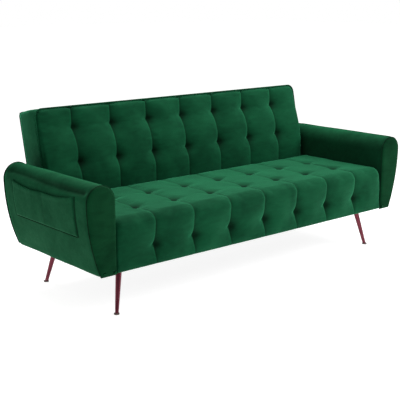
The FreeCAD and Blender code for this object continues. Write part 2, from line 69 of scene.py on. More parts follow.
hinge = Vector((0.0, 0.243665, 0.361))
back_lean = math.radians(11.9)
back_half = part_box("back_cushion")[1].x
back_front = -0.085              # from the hinge axis, square to the back's face
back_rear = 0.071
back_foot = -0.080
back_top = 0.48770

# ---- Upholstery ------------------------------------------------------------------------------------------
channel = 0.226                  # seam to seam
seams = [channel * i for i in range(-3, 4)]
channel_columns = 24             # mesh columns from seam to seam
face_stride = 0.0085             # mesh rows along a cushion's face
hidden_stride = 0.045            # and along the side that is never seen
weld_gap = 0.00002
apron_depth = 0.034              # foam in front of the seat's front board
seat_pad_depth = 0.051           # top pad over the springs
tuft_reach = 0.034               # no tuft is pulled deeper than this
boxing_lip = 0.007               # the back's face sits this far under its border strip
back_corner = 0.042              # the back's top corners, seen from the front
end_panel_depth = 0.012          # padded panels on the arms' ends
end_welt_inset = 0.009           # their seam cords, in from the ends
pocket_mouth_z = 0.548


# ---- Outline helpers -------------------------------------------------------------------------------------
def rounded_path(corners, closed=False, steps=12):
    """Points along an outline whose corners are (a, b, radius); radius 0 leaves a corner sharp."""
    path = []
    for i, (a, b, radius) in enumerate(corners):
        here = Vector((a, b))
        at_end = not closed and i in (0, len(corners) - 1)
        if radius == 0 or at_end:
            path.append(here)
            continue
        back = (Vector(corners[i - 1][:2]) - here).normalized()
        ahead = (Vector(corners[(i + 1) % len(corners)][:2]) - here).normalized()
        half = back.angle(ahead) / 2.0
        centre = here + (back + ahead).normalized() * radius / math.sin(half)
        first = (here + back * radius / math.tan(half) - centre).normalized()
        last = (here + ahead * radius / math.tan(half) - centre).normalized()
        for k in range(steps + 1):
            path.append(centre + first.slerp(last, k / steps) * radius)
    return path


def walk(path, step):
    """The same line in equal strides of about one step."""
    reach = [0.0]
    for a, b in zip(path, path[1:]):
        reach.append(reach[-1] + (b - a).length)
    count = max(1, round(reach[-1] / step))
    points, k = [], 0
    for i in range(count + 1):
        goal = reach[-1] * i / count
        while k < len(path) - 2 and reach[k + 1] < goal:
            k += 1
        span = reach[k + 1] - reach[k]
        points.append(path[k].lerp(path[k + 1], (goal - reach[k]) / span if span else 0.0))
    return points


def outward(line, i, closed=True):
    """The normal of a line of points at point i, to the left of its direction."""
    n = len(line)
    before = line[(i - 1) % n] if closed or i > 0 else line[i]
    after = line[(i + 1) % n] if closed or i < n - 1 else line[i]
    along = (after - before).normalized()
    return Vector((-along.y, along.x))


def grid_shape(columns, rows, place):
    """A grid whose crossing (i, j) is moved to place(i, j)."""
    bm = bmesh.new()
    bmesh.ops.create_grid(bm, x_segments=columns, y_segments=rows, size=0.5)
    for v in bm.verts:
        v.co = place(round((v.co.x + 0.5) * columns), round((v.co.y + 0.5) * rows))
    return bm


def close_ends(bm):
    """Caps every open rim."""
    rim = [e for e in bm.edges if e.is_boundary]
    filled = bmesh.ops.holes_fill(bm, edges=rim, sides=0)
    bmesh.ops.triangulate(bm, faces=filled["faces"])
    bmesh.ops.recalc_face_normals(bm, faces=bm.faces)


def turn_outward(bm, direction):
    """Turns an open skin so that its outermost face along a direction looks that way."""
    bmesh.ops.recalc_face_normals(bm, faces=bm.faces)
    outermost = max(bm.faces, key=lambda f: f.calc_center_median().dot(direction))
    if outermost.normal.dot(direction) < 0.0:
        bmesh.ops.reverse_faces(bm, faces=bm.faces)


def finish_piece(name, bm, material, body):
    """Turns a bmesh into a named piece that rides on a body."""
    mesh = bpy.data.meshes.new(name)
    bm.to_mesh(mesh)
    bm.free()
    mesh.shade_smooth()
    piece = bpy.data.objects.new(name, mesh)
    bpy.context.scene.collection.objects.link(piece)
    mesh.materials.append(material)
    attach(piece, body)
    return piece


def soft_noise(point, scale, amount, seed):
    """A gentle unevenness, the same on every run."""
    return amount * noise.noise(Vector(point) * scale + Vector((seed, seed * 1.7, seed * 0.3)))


def smooth_step(low, high, value):
    """Eases from 0 at low to 1 at high; low may be the larger of the two."""
    t = min(1.0, max(0.0, (value - low) / (high - low)))
    return t * t * (3.0 - 2.0 * t)


# ---- Node helpers ----------------------------------------------------------------------------------------
def new_group(name, inputs, outputs):
    """A shader node group with named inputs and outputs."""
    group = bpy.data.node_groups.new(name, "ShaderNodeTree")
    for label, kind, value in inputs:
        socket = group.interface.new_socket(label, in_out="INPUT", socket_type=kind)
        if value is not None:
            socket.default_value = value
    for label, kind in outputs:
        group.interface.new_socket(label, in_out="OUTPUT", socket_type=kind)
    return group, group.nodes.new("NodeGroupInput"), group.nodes.new("NodeGroupOutput")


def add(tree, kind, links=None, **values):
    """A node with its inputs set by socket name (spaces as underscores) or linked."""
    made = tree.nodes.new(kind)
    for label, value in values.items():
        if hasattr(made, label):
            setattr(made, label, value)
        else:
            made.inputs[label.replace("_", " ")].default_value = value
    for label, source in (links or {}).items():
        tree.links.new(source, made.inputs[label])
    return made


def noise_at(tree, vector, scale, detail=2.0, roughness=0.5, distortion=0.0):
    """A noise texture's value, about 0.5 on average."""
    made = add(tree, "ShaderNodeTexNoise", {"Vector": vector}, Scale=scale, Detail=detail,
               Roughness=roughness, Distortion=distortion)
    return made.outputs["Fac"]


def stretched(tree, vector, scale):
    """The same coordinates scaled by axis."""
    made = add(tree, "ShaderNodeMapping", {"Vector": vector})
    made.inputs["Scale"].default_value = scale
    return made.outputs["Vector"]


def remap(tree, value, low, high, to_low, to_high):
    """A value moved from one range to another, and held inside it."""
    made = add(tree, "ShaderNodeMapRange", {"Value": value})
    for label, amount in (("From Min", low), ("From Max", high), ("To Min", to_low), ("To Max", to_high)):
        made.inputs[label].default_value = amount
    return made.outputs["Result"]


def mix_colour(tree, factor, first, second):
    """From the first colour at factor 0 to the second at 1."""
    made = tree.nodes.new("ShaderNodeMix")
    made.data_type = "RGBA"
    for socket, value in ((made.inputs[0], factor), (made.inputs[6], first), (made.inputs[7], second)):
        if isinstance(value, (int, float, tuple)):
            socket.default_value = value
        else:
            tree.links.new(value, socket)
    return made.outputs[2]


def combine(tree, first, second, operation="ADD"):
    """Two values added, or put together by another operation."""
    made = tree.nodes.new("ShaderNodeMath")
    made.operation = operation
    for socket, value in zip(made.inputs, (first, second)):
        if isinstance(value, (int, float)):
            socket.default_value = value
        else:
            tree.links.new(value, socket)
    return made.outputs[0]


def rgb(r, g, b):
    """A colour given as 0-255 display values."""
    def linear(c):
        c /= 255.0
        return c / 12.92 if c <= 0.04045 else ((c + 0.055) / 1.055) ** 2.4
    return (linear(r), linear(g), linear(b), 1.0)


# ---- Shared effects --------------------------------------------------------------------------------------
def make_pile_group():
    """Velvet pile: brushed patches that lean different ways, faint streaks, the nap's own fine grain, and the
    painted shade and highlight that each piece stores.
    """
    group, given, out = new_group(
        "velvet_pile",
        [("Vector", "NodeSocketVector", None), ("Deep", "NodeSocketColor", (0, 0, 0, 1)),
         ("Brushed", "NodeSocketColor", (1, 1, 1, 1)), ("Painted Shade", "NodeSocketFloat", 0.0)],
        [("Color", "NodeSocketColor"), ("Roughness", "NodeSocketFloat"), ("Height", "NodeSocketFloat")],
    )
    at = given.outputs["Vector"]
    patches = noise_at(group, at, 4.5, 3.0, 0.55, 0.9)
    strokes = noise_at(group, stretched(group, at, (9.0, 30.0, 30.0)), 1.6, 3.0, 0.6, 0.5)
    nap = noise_at(group, at, 620.0, 2.0, 0.6)
    tufts = add(group, "ShaderNodeTexVoronoi", {"Vector": at}, Scale=900.0).outputs["Distance"]
    lay = combine(group, combine(group, patches, 0.65, "MULTIPLY"), combine(group, strokes, 0.35, "MULTIPLY"))
    lay = remap(group, lay, 0.36, 0.64, 0.0, 1.0)
    colour = mix_colour(group, lay, given.outputs["Deep"], given.outputs["Brushed"])
    grain = remap(group, nap, 0.3, 0.7, 0.88, 1.12)
    # Painted shade: the stored value darkens the colour, and where it is negative it paints a highlight.
    shade = combine(group, grain, combine(group, given.outputs["Painted Shade"], -0.75, "MULTIPLY"))
    toned = add(group, "ShaderNodeHueSaturation", {"Color": colour, "Value": shade})
    group.links.new(toned.outputs["Color"], out.inputs["Color"])
    group.links.new(remap(group, lay, 0.0, 1.0, 0.92, 0.72), out.inputs["Roughness"])
    height = combine(group, combine(group, nap, 0.7, "MULTIPLY"), combine(group, tufts, 0.5, "MULTIPLY"))
    group.links.new(height, out.inputs["Height"])
    return group


def make_wear_group():
    """Handling marks on metal and plastic: faint clouds, fine scratches and a little dust."""
    group, given, out = new_group(
        "handling_marks",
        [("Vector", "NodeSocketVector", None), ("Colour", "NodeSocketColor", (1, 1, 1, 1)),
         ("Worn", "NodeSocketColor", (1, 1, 1, 1)), ("Smooth", "NodeSocketFloat", 0.3),
         ("Rough", "NodeSocketFloat", 0.5)],
        [("Color", "NodeSocketColor"), ("Roughness", "NodeSocketFloat"), ("Height", "NodeSocketFloat")],
    )
    at = given.outputs["Vector"]
    clouds = remap(group, noise_at(group, at, 18.0, 4.0, 0.6), 0.35, 0.7, 0.0, 1.0)
    scratches = noise_at(group, stretched(group, at, (260.0, 260.0, 14.0)), 1.0, 3.0, 0.7)
    specks = remap(group, noise_at(group, at, 420.0, 2.0, 0.7), 0.62, 0.75, 0.0, 0.6)
    worn = combine(group, combine(group, clouds, 0.35, "MULTIPLY"), specks, "MAXIMUM")
    colour = mix_colour(group, worn, given.outputs["Colour"], given.outputs["Worn"])
    rough = group.nodes.new("ShaderNodeMapRange")
    group.links.new(combine(group, combine(group, clouds, 0.5, "MULTIPLY"),
                            combine(group, scratches, 0.5, "MULTIPLY")), rough.inputs["Value"])
    group.links.new(given.outputs["Smooth"], rough.inputs["To Min"])
    group.links.new(given.outputs["Rough"], rough.inputs["To Max"])
    group.links.new(colour, out.inputs["Color"])
    group.links.new(rough.outputs["Result"], out.inputs["Roughness"])
    group.links.new(scratches, out.inputs["Height"])
    return group


def make_grain_group():
    """Sawn timber: growth rings drawn out along one axis, with fibres and small pores."""
    group, given, out = new_group(
        "timber_grain",
        [("Vector", "NodeSocketVector", None), ("Early", "NodeSocketColor", (1, 1, 1, 1)),
         ("Late", "NodeSocketColor", (1, 1, 1, 1))],
        [("Color", "NodeSocketColor"), ("Roughness", "NodeSocketFloat"), ("Height", "NodeSocketFloat")],
    )
    at = given.outputs["Vector"]
    drawn = stretched(group, at, (2.0, 26.0, 26.0))
    waves = add(group, "ShaderNodeTexWave", {"Vector": drawn}, Scale=1.1, Distortion=7.0, Detail=3.0)
    fibres = noise_at(group, stretched(group, at, (12.0, 420.0, 420.0)), 1.0, 3.0, 0.6)
    lay = combine(group, combine(group, waves.outputs["Fac"], 0.65, "MULTIPLY"),
                  combine(group, fibres, 0.45, "MULTIPLY"))
    colour = mix_colour(group, lay, given.outputs["Early"], given.outputs["Late"])
    group.links.new(colour, out.inputs["Color"])
    group.links.new(remap(group, fibres, 0.3, 0.7, 0.55, 0.75), out.inputs["Roughness"])
    group.links.new(fibres, out.inputs["Height"])
    return group


def make_fibre_group():
    """Pressed or spun cloth: matted fibres with a faint dimple pattern."""
    group, given, out = new_group(
        "matted_fibres",
        [("Vector", "NodeSocketVector", None), ("Dark", "NodeSocketColor", (0, 0, 0, 1)),
         ("Pale", "NodeSocketColor", (1, 1, 1, 1)), ("Dimples", "NodeSocketFloat", 400.0)],
        [("Color", "NodeSocketColor"), ("Roughness", "NodeSocketFloat"), ("Height", "NodeSocketFloat")],
    )
    at = given.outputs["Vector"]
    matted = noise_at(group, at, 240.0, 4.0, 0.7, 1.5)
    cells = group.nodes.new("ShaderNodeTexVoronoi")
    group.links.new(at, cells.inputs["Vector"])
    group.links.new(given.outputs["Dimples"], cells.inputs["Scale"])
    lay = combine(group, combine(group, matted, 0.6, "MULTIPLY"),
                  combine(group, cells.outputs["Distance"], 0.5, "MULTIPLY"))
    colour = mix_colour(group, lay, given.outputs["Dark"], given.outputs["Pale"])
    group.links.new(colour, out.inputs["Color"])
    group.links.new(remap(group, matted, 0.3, 0.7, 0.85, 0.98), out.inputs["Roughness"])
    group.links.new(lay, out.inputs["Height"])
    return group


pile = make_pile_group()
marks = make_wear_group()
grain = make_grain_group()
fibres = make_fibre_group()


# ---- Materials -------------------------------------------------------------------------------------------
def material_from(name, group, inputs, bump, shader, painted_shade=False):
    """A material whose surface comes from one shared effect; shader gives the constant sockets."""
    material = bpy.data.materials.new(name)
    material.use_nodes = True
    tree = material.node_tree
    surface = tree.nodes["Principled BSDF"]
    for label, value in shader.items():
        surface.inputs[label].default_value = value
    place = tree.nodes.new("ShaderNodeTexCoord")
    effect = tree.nodes.new("ShaderNodeGroup")
    effect.node_tree = group
    tree.links.new(place.outputs["Object"], effect.inputs["Vector"])
    for label, value in inputs.items():
        effect.inputs[label].default_value = value
    # Feeds the painted shade and highlight stored on the piece into the pile's colour.
    if painted_shade:
        shade_attribute = add(tree, "ShaderNodeAttribute", attribute_name="painted_shade")
        tree.links.new(shade_attribute.outputs["Fac"], effect.inputs["Painted Shade"])
    tree.links.new(effect.outputs["Color"], surface.inputs["Base Color"])
    tree.links.new(effect.outputs["Roughness"], surface.inputs["Roughness"])
    relief = add(tree, "ShaderNodeBump", {"Height": effect.outputs["Height"]}, Strength=bump[0],
                 Distance=bump[1])
    tree.links.new(relief.outputs["Normal"], surface.inputs["Normal"])
    return material


def make_velvet(name, deep, brushed, sheen, tint):
    shader = {"Sheen Weight": sheen, "Sheen Roughness": 0.38, "Sheen Tint": tint, "Specular IOR Level": 0.06}
    return material_from(name, pile, {"Deep": deep, "Brushed": brushed}, (0.25, 0.0006), shader, True)


emerald = make_velvet("emerald_velvet", rgb(4, 53, 31), rgb(6, 72, 43), 0.76, rgb(90, 205, 150))
# A darker, less sheeny copy of the velvet for the arms' end panels.
emerald_shade = make_velvet("emerald_velvet_darker", rgb(1, 40, 20), rgb(2, 56, 29), 0.14,
                            rgb(36, 205, 120))
# A much darker, less sheeny copy of the velvet for the cords, which lays painted shade along every welt.
emerald_welt = make_velvet("emerald_velvet_welt", rgb(1, 26, 13), rgb(2, 38, 19), 0.12, rgb(50, 205, 130))
# A darker, less sheeny copy of the velvet for the arms and pockets: painted shade set against the seat's
# velvet.
emerald_arm = make_velvet("emerald_velvet_arm", rgb(4, 48, 27), rgb(6, 67, 39), 0.42, rgb(72, 205, 140))


def make_metal(name, colour, worn, smooth, rough, coat=0.0):
    shader = {"Metallic": 1.0, "Coat Weight": coat, "Coat Roughness": 0.15}
    return material_from(name, marks, {"Colour": colour, "Worn": worn, "Smooth": smooth, "Rough": rough},
                         (0.06, 0.0004), shader)


leg_metal = make_metal("rose_burgundy_metal", rgb(94, 32, 46), rgb(132, 62, 74), 0.22, 0.38, 0.3)
spring_steel = make_metal("spring_steel", rgb(96, 98, 102), rgb(130, 126, 120), 0.35, 0.6)
zinc = make_metal("zinc_plate", rgb(190, 192, 188), rgb(150, 146, 130), 0.28, 0.5)
hinge_steel = make_metal("black_hinge_steel", rgb(52, 53, 56), rgb(96, 92, 88), 0.38, 0.62)
glide_plastic = material_from(
    "glide_plastic", marks,
    {"Colour": rgb(96, 84, 80), "Worn": rgb(140, 128, 120), "Smooth": 0.45, "Rough": 0.7}, (0.08, 0.0004),
    {"Metallic": 0.0},
)
plywood = material_from("plywood", grain, {"Early": rgb(206, 172, 126), "Late": rgb(160, 118, 74)},
                        (0.15, 0.0006), {})
pine = material_from("pine", grain, {"Early": rgb(224, 190, 138), "Late": rgb(186, 138, 84)}, (0.15, 0.0006),
                     {})
lining = material_from("black_underside_cloth", fibres,
                       {"Dark": rgb(14, 14, 15), "Pale": rgb(42, 42, 44), "Dimples": 380.0}, (0.3, 0.0006),
                       {"Sheen Weight": 0.1})
felt = material_from("grey_spring_felt", fibres,
                     {"Dark": rgb(92, 90, 86), "Pale": rgb(172, 168, 160), "Dimples": 150.0}, (0.4, 0.001),
                     {"Sheen Weight": 0.2})


def finish_nodes():
    """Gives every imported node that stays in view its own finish."""
    finishes = (
        (leg_metal, ("leg_front", "leg_rear")),
        (glide_plastic, ("foot_glides",)),
        (spring_steel, ("seat_springs", "back_springs", "pawl_springs")),
        (zinc, ("leg_screws", "arm_bolts", "back_hinge_bolts", "seat_hinge_bolts", "seat_spring_clips",
                "back_spring_clips", "hinge_pin")),
        (hinge_steel, ("back_hinge_leaf", "seat_hinge_leaf", "ratchet", "pawl_left", "pawl_right")),
        (plywood, ("arm_end_formers", "arm_inner_board", "seat_front_board", "seat_rear_board",
                   "seat_side_board", "seat_centre_board")),
        (pine, ("arm_top_rail", "arm_spacer", "base_", "back_bottom_rail", "back_centre_rail",
                "back_side_rail", "back_top_rail")),
    )
    for name, obj in node.items():
        for material, starts in finishes:
            if name.startswith(starts):
                obj.data.materials.clear()
                obj.data.materials.append(material)


# ---- Tufted cushions -------------------------------------------------------------------------------------
def columns_across(half, per_channel):
    """Stations along X from end to end, closer together at each seam."""
    edges = [-half] + seams + [half]
    stations = []
    for a, b in zip(edges, edges[1:]):
        for k in range(per_channel):
            t = k / per_channel
            stations.append(a + (b - a) * (t - 0.095 * math.sin(2.0 * math.pi * t)))
    return stations + [half]


def tuft_drop(x, s, tuft_rows, half, depth):
    """How far the cover lies below a cushion's full outline."""
    gap = min(abs(x - seam) for seam in seams)
    away = min(abs(s - row) for row in tuft_rows)
    soften = 1.0 - (1.0 - depth["above"]) * smooth_step(0.18, 0.30, s)
    spread = depth["spread"] * (0.4 + 0.6 * soften)
    pulled = math.exp(-(away / (spread * 1.5)) ** 1.6) * math.exp(-(gap / (0.010 + spread)) ** 1.7)
    drop = depth["seam"] * math.exp(-(gap / 0.012) ** 1.15) + (depth["tuft"] - depth["seam"]) * pulled
    drop += depth["pit"] * math.exp(-(gap / 0.024) ** 2 - (away / 0.007) ** 1.5)
    drop += depth["channel"] * max(0.0, 1.0 - gap / (channel / 2.0)) ** 3
    drop = min(drop * soften, depth["most"])
    low_round, high_round = depth["end"]
    end_round = low_round + (high_round - low_round) * smooth_step(0.14, 0.26, s)
    edge = half - abs(x)
    if edge < end_round:
        drop += end_round - math.sqrt(max(0.0, end_round ** 2 - (end_round - edge) ** 2))
    return drop


def tufted_cushion(shown, hidden, tuft_points, half, depth, crown):
    """A closed cushion whose section runs through shown then hidden, pulled in at the tufts."""
    front = walk(shown, face_stride)
    rest = walk(hidden, hidden_stride)[1:-1]
    section = front + rest
    stations = columns_across(half, channel_columns)
    stride = (front[1] - front[0]).length
    rows = []
    for y, z, _ in tuft_points:
        nearest = min(range(len(front)), key=lambda i: (front[i] - Vector((y, z))).length)
        rows.append(nearest * stride)
    length = stride * (len(front) - 1)

    def at(i, j):
        x = stations[i]
        k = j % len(section)
        here = section[k]
        if k >= len(front):
            return Vector((x, here.x, here.y))
        s = k * stride
        drop = tuft_drop(x, s, rows, half, depth)
        rim = smooth_step(*depth["foot"], s) * smooth_step(0.0, depth["tail"], length - s)
        drop *= 0.08 + 0.92 * rim
        drop += soft_noise((x, s, 0.0), 7.0, 0.0022, 3.0) * rim
        drop -= crown(here) * rim
        out = outward(section, k)
        moved = here - out * drop
        return Vector((x, moved.x, moved.y))

    bm = grid_shape(len(stations) - 1, len(section), at)
    bmesh.ops.remove_doubles(bm, verts=bm.verts, dist=weld_gap)
    close_ends(bm)
    return bm


def let_cover_settle(piece, held, pressure, slack, cap, frames):
    """Lets the cover swell and wrinkle between the vertices that are held."""
    scene = bpy.context.scene
    before = [v.co.copy() for v in piece.data.vertices]
    group = piece.vertex_groups.new(name="held")
    for index, weight in held.items():
        group.add([index], weight, "REPLACE")
    cloth = piece.modifiers.new("cover", "CLOTH")
    settings = cloth.settings
    settings.quality = 5
    settings.mass = 0.25
    settings.vertex_group_mass = "held"
    settings.use_pressure = True
    settings.uniform_pressure_force = pressure
    settings.tension_stiffness = 18.0
    settings.compression_stiffness = 12.0
    settings.shear_stiffness = 6.0
    settings.bending_stiffness = 0.4
    settings.air_damping = 2.0
    settings.shrink_min = -slack
    settings.effector_weights.gravity = 0.0
    cloth.collision_settings.use_collision = False
    cloth.point_cache.frame_start = 1
    cloth.point_cache.frame_end = frames
    for i in range(1, frames + 1):
        scene.frame_set(i)
    graph = bpy.context.evaluated_depsgraph_get()
    after = [v.co.copy() for v in piece.evaluated_get(graph).data.vertices]
    piece.modifiers.remove(cloth)
    piece.vertex_groups.clear()
    scene.frame_set(1)
    for v, a, b in zip(piece.data.vertices, before, after):
        move = b - a
        if move.length > cap(a):
            move *= cap(a) / move.length
        v.co = a + move
    piece.data.update()


def one_subdivision(piece):
    """Rounds a piece's facets by one level."""
    made = piece.modifiers.new("soften", "SUBSURF")
    made.levels = 1
    made.render_levels = 1


SEAT_DEPTH = {"seam": 0.005, "tuft": 0.025, "pit": 0.007, "channel": 0.003, "spread": 0.023,
              "above": 0.52, "most": 0.029, "foot": (apron_depth, 0.088), "tail": 0.14, "end": (0.013, 0.038)}
BACK_DEPTH = {"seam": 0.005, "tuft": 0.025, "pit": 0.006, "channel": 0.003, "spread": 0.025,
              "above": 1.0, "most": 0.034, "foot": (0.0, 0.05), "tail": 0.05, "end": (0.018, 0.018)}


def make_seat():
    """The seat's tufted cushion: a top pad that turns down over the front board."""
    y0, z0 = seat_low.y, seat_low.z
    y1, z1 = seat_high.y, seat_high.z
    foot_y = y1 - 0.016
    pad_z = z1 - seat_pad_depth
    apron_y = y0 + apron_depth
    shown = rounded_path([(apron_y, z0, 0), (y0, z0, 0.007), (y0, z1, 0.045), (y1, z1, 0.018),
                          (foot_y, pad_z, 0)])
    hidden = rounded_path([(foot_y, pad_z, 0), (apron_y, pad_z, 0), (apron_y, z0, 0)])
    tufts = [(y0, 0.300, "in"), (-0.245, z1, "down"), (-0.050, z1, "down")]
    bm = tufted_cushion(shown, hidden, tufts, seat_high.x, SEAT_DEPTH, lambda here: 0.0)
    piece = finish_piece("seat_upholstery", bm, emerald, "base")
    settle_cushion(piece, seat_high.x, lambda co: co.y > apron_y + 0.002 and co.z < z1 - 0.045
                   or co.z < z0 + 0.02 or co.y > y1 - 0.03,
                   lambda co: 0.008 - 0.0045 * smooth_step(z1 - 0.10, z1 - 0.03, co.z))
    # Painted shade and highlight beside the seams and in the tuft pits.
    paint_seam_shade(piece, tufts, lambda co: co.y < y1 - 0.03)
    one_subdivision(piece)
    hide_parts("seat_cushion")
    return piece


def painted_seam_shade(across, away):
    """Painted shade beside a seam: dark on its right, darkest on the seam line and in the tuft pits; a
    painted highlight along the lip on its left.
    """
    near_row = math.exp(-(away / 0.045) ** 2)
    if across >= 0.0:
        shade = (0.30 + 0.35 * near_row) * math.exp(-(across / (0.010 + 0.020 * near_row)) ** 1.2)
    else:
        shade = -0.38 * math.exp(-((-across - 0.006) / 0.006) ** 2)
    shade += 0.85 * math.exp(-(across / 0.0025) ** 2)
    shade += 0.60 * math.exp(-((across - 0.011) / 0.020) ** 2 - (away / 0.019) ** 2)
    return max(-0.6, min(0.95, shade))


def row_distance(point, row):
    """How far a point on the cover is from a row of tufts, leaving out how deep they are pulled."""
    y, z, pulled = row
    across, up = abs(point.y - y), abs(point.z - z)
    if pulled == "in":
        across = max(0.0, across - tuft_reach)
    else:
        up = max(0.0, up - tuft_reach)
    return math.hypot(across, up)


def paint_seam_shade(piece, rows, shown):
    """Stores painted shade and highlight at each point; rows are the tufts' (y, z) places and their way of
    pull.
    """
    layer = piece.data.attributes.new("painted_shade", "FLOAT", "POINT")
    for i, v in enumerate(piece.data.vertices):
        if not shown(v.co):
            continue
        seam = min(seams, key=lambda line: abs(v.co.x - line))
        away = min(row_distance(v.co, row) for row in rows)
        layer.data[i].value = painted_seam_shade(v.co.x - seam, away)


def settle_cushion(piece, half, hidden, cap):
    """Swells a cushion's cover between its seams."""
    held = {}
    for v in piece.data.vertices:
        gap = min(abs(v.co.x - seam) for seam in seams)
        if hidden(v.co) or abs(v.co.x) > half - 0.012 or gap < 0.0012:
            held[v.index] = 1.0
    let_cover_settle(piece, held, 3.0, 0.004, cap, 16)


def end_bulge(along, up):
    """How far the back's soft ends stand out: nothing beside the hinge, full above it; along is 0 to 1."""
    return 0.009 * smooth_step(0.72, 1.0, along) * smooth_step(0.09, 0.22, up)


def lean(v):
    """From the back's own frame, whose origin is the hinge axis, to its upright place."""
    c, s = math.cos(back_lean), math.sin(back_lean)
    return Vector((v.x, hinge.y + v.y * c + v.z * s, hinge.z - v.y * s + v.z * c))


def tuck_corner(point, half, top, radius):
    """Draws a point near a top corner in to a rounded corner."""
    over = Vector((abs(point.x) - (half - radius), point.z - (top - radius)))
    if over.x > 0.0 and over.y > 0.0:
        square = max(over.x, over.y)
        over *= square / over.length
        point.x = math.copysign(half - radius + over.x, point.x)
        point.z = top - radius + over.y
    return point


def make_back():
    """The back's tufted pad: face, rolled foot and flat rear against the springs."""
    rear = -0.026
    half = back_half - boxing_lip
    top = back_top - boxing_lip
    shown = rounded_path([(rear, back_foot, 0), (back_front, back_foot, 0.050),
                          (back_front, top, 0.016), (rear, top, 0)])
    hidden = [Vector((rear, top)), Vector((rear, back_foot))]
    tufts = []
    for z in (0.584, 0.754):
        tufts.append((back_front, (z - hinge.z + back_front * math.sin(back_lean)) / math.cos(back_lean),
                      "in"))

    def crown(here):
        return 0.022 * smooth_step(0.0, 0.17, here.y) * (1.0 - smooth_step(0.22, 0.46, here.y))

    bm = tufted_cushion(shown, hidden, tufts, half, BACK_DEPTH, crown)
    piece = finish_piece("back_upholstery", bm, emerald, "backrest")
    settle_cushion(piece, half, lambda co: co.y > rear - 0.012 or co.z < back_foot + 0.012
                   or co.z > top - 0.010, lambda co: 0.008)
    # Painted shade and highlight beside the seams and in the tuft pits.
    paint_seam_shade(piece, tufts, lambda co: co.y < rear - 0.01)
    for v in piece.data.vertices:
        place = tuck_corner(v.co, half, top, back_corner)
        place.x += math.copysign(end_bulge(abs(place.x) / half, place.z), place.x)
        v.co = lean(place)
    one_subdivision(piece)
    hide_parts("back_cushion")
    return piece


def back_outline(inset, corner, count=220):
    """Left foot, over the top, to the right foot of the back, drawn in by inset, with rounded top corners."""
    half = back_half - inset
    top = back_top - inset
    corners = [(-half, back_foot + 0.006, 0), (-half, top, corner - inset), (half, top, corner - inset),
               (half, back_foot + 0.006, 0)]
    path = rounded_path(corners)
    length = sum((b - a).length for a, b in zip(path, path[1:]))
    line = walk(path, length / count)
    for point in line:
        point.x += math.copysign(end_bulge(abs(point.x) / half, point.y), point.x)
    return line


def boxing_corner(y):
    """The top corners' radius: wide at the soft face, tight where the frame fills the corner."""
    return back_corner - 0.024 * smooth_step(back_front + 0.010, -0.020, y)


def make_back_boxing():
    """The flat border strip over the back's ends and top, between the front and rear welts."""
    rows = 14
    first, last = back_front + 0.010, back_rear - 0.006
    deep = [first + (last - first) * k / rows for k in range(rows + 1)]
    lines = [back_outline(0.0, boxing_corner(y)) for y in deep]

    def at(i, j):
        line, y = lines[j], deep[j]
        puff = -0.0022 + 0.0030 * math.sin(math.pi * j / rows)
        puff += soft_noise((line[i].x, y, line[i].y), 9.0, 0.0016, 8.0)
        point = line[i] + outward(line, i, False) * puff
        return lean(Vector((point.x, y, point.y)))

    bm = grid_shape(len(lines[0]) - 1, rows, at)
    turn_outward(bm, UP)
    bmesh.ops.solidify(bm, geom=bm.faces, thickness=0.006)
    piece = finish_piece("back_boxing", bm, emerald, "backrest")
    return piece


def make_tube(name, points, radius, material, body, closed=False):
    """A welt: a round cord in a sewn sleeve along a line of points."""
    curve = bpy.data.curves.new(name, "CURVE")
    curve.dimensions = "3D"
    spline = curve.splines.new("POLY")
    spline.points.add(len(points) - 1)
    for target, point in zip(spline.points, points):
        target.co = (*point, 1.0)
    spline.use_cyclic_u = closed
    curve.bevel_depth = radius
    curve.bevel_resolution = 3
    curve.use_fill_caps = True
    holder = bpy.data.objects.new(name + "_line", curve)
    mesh = bpy.data.meshes.new_from_object(holder)
    bpy.data.objects.remove(holder)
    mesh.name = name
    mesh.shade_smooth()
    mesh.materials.clear()
    mesh.materials.append(material)
    piece = bpy.data.objects.new(name, mesh)
    bpy.context.scene.collection.objects.link(piece)
    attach(piece, body)
    return piece


def make_back_welts():
    """The cords along the two edges of the back's border strip."""
    for label, y in (("front", back_front + 0.0085), ("rear", back_rear - 0.004)):
        line = back_outline(0.0018, boxing_corner(y))
        points = [lean(Vector((p.x, y, p.y))) for p in line]
        make_tube("back_welt_" + label, points, 0.0022, emerald, "backrest")


def make_back_cover():
    """The velvet-covered board over the rear of the back."""
    columns, rows = 80, 40
    half, low, high = back_half - 0.003, back_foot + 0.008, back_top - 0.003

    def at(i, j):
        x = -1.0 + 2.0 * i / columns
        z = -1.0 + 2.0 * j / rows
        edge = min(1.0 - abs(x), (1.0 - abs(z)) * 0.5)
        crown = 0.0030 * smooth_step(0.0, 0.03, edge)
        place = Vector((x * half, back_rear - 0.005 + crown, (low + high) / 2.0 + z * (high - low) / 2.0))
        place.y += soft_noise(place, 5.0, 0.0012, 5.0)
        place.x += math.copysign(end_bulge(abs(x), place.z), x)
        return lean(place)

    bm = grid_shape(columns, rows, at)
    turn_outward(bm, REARWARD)
    bmesh.ops.solidify(bm, geom=bm.faces, thickness=0.003)
    piece = finish_piece("back_rear_cover", bm, emerald, "backrest")
    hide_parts("back_rear_panel")
    return piece


# ---- Arms ------------------------------------------------------------------------------------------------
def side_x(z, inset=0.0):
    """The arm's outer side at a height: a long arc that curves in to the foot."""
    return arm_outer_x - side_radius + math.sqrt((side_radius - inset) ** 2 - (arch_z - z) ** 2)


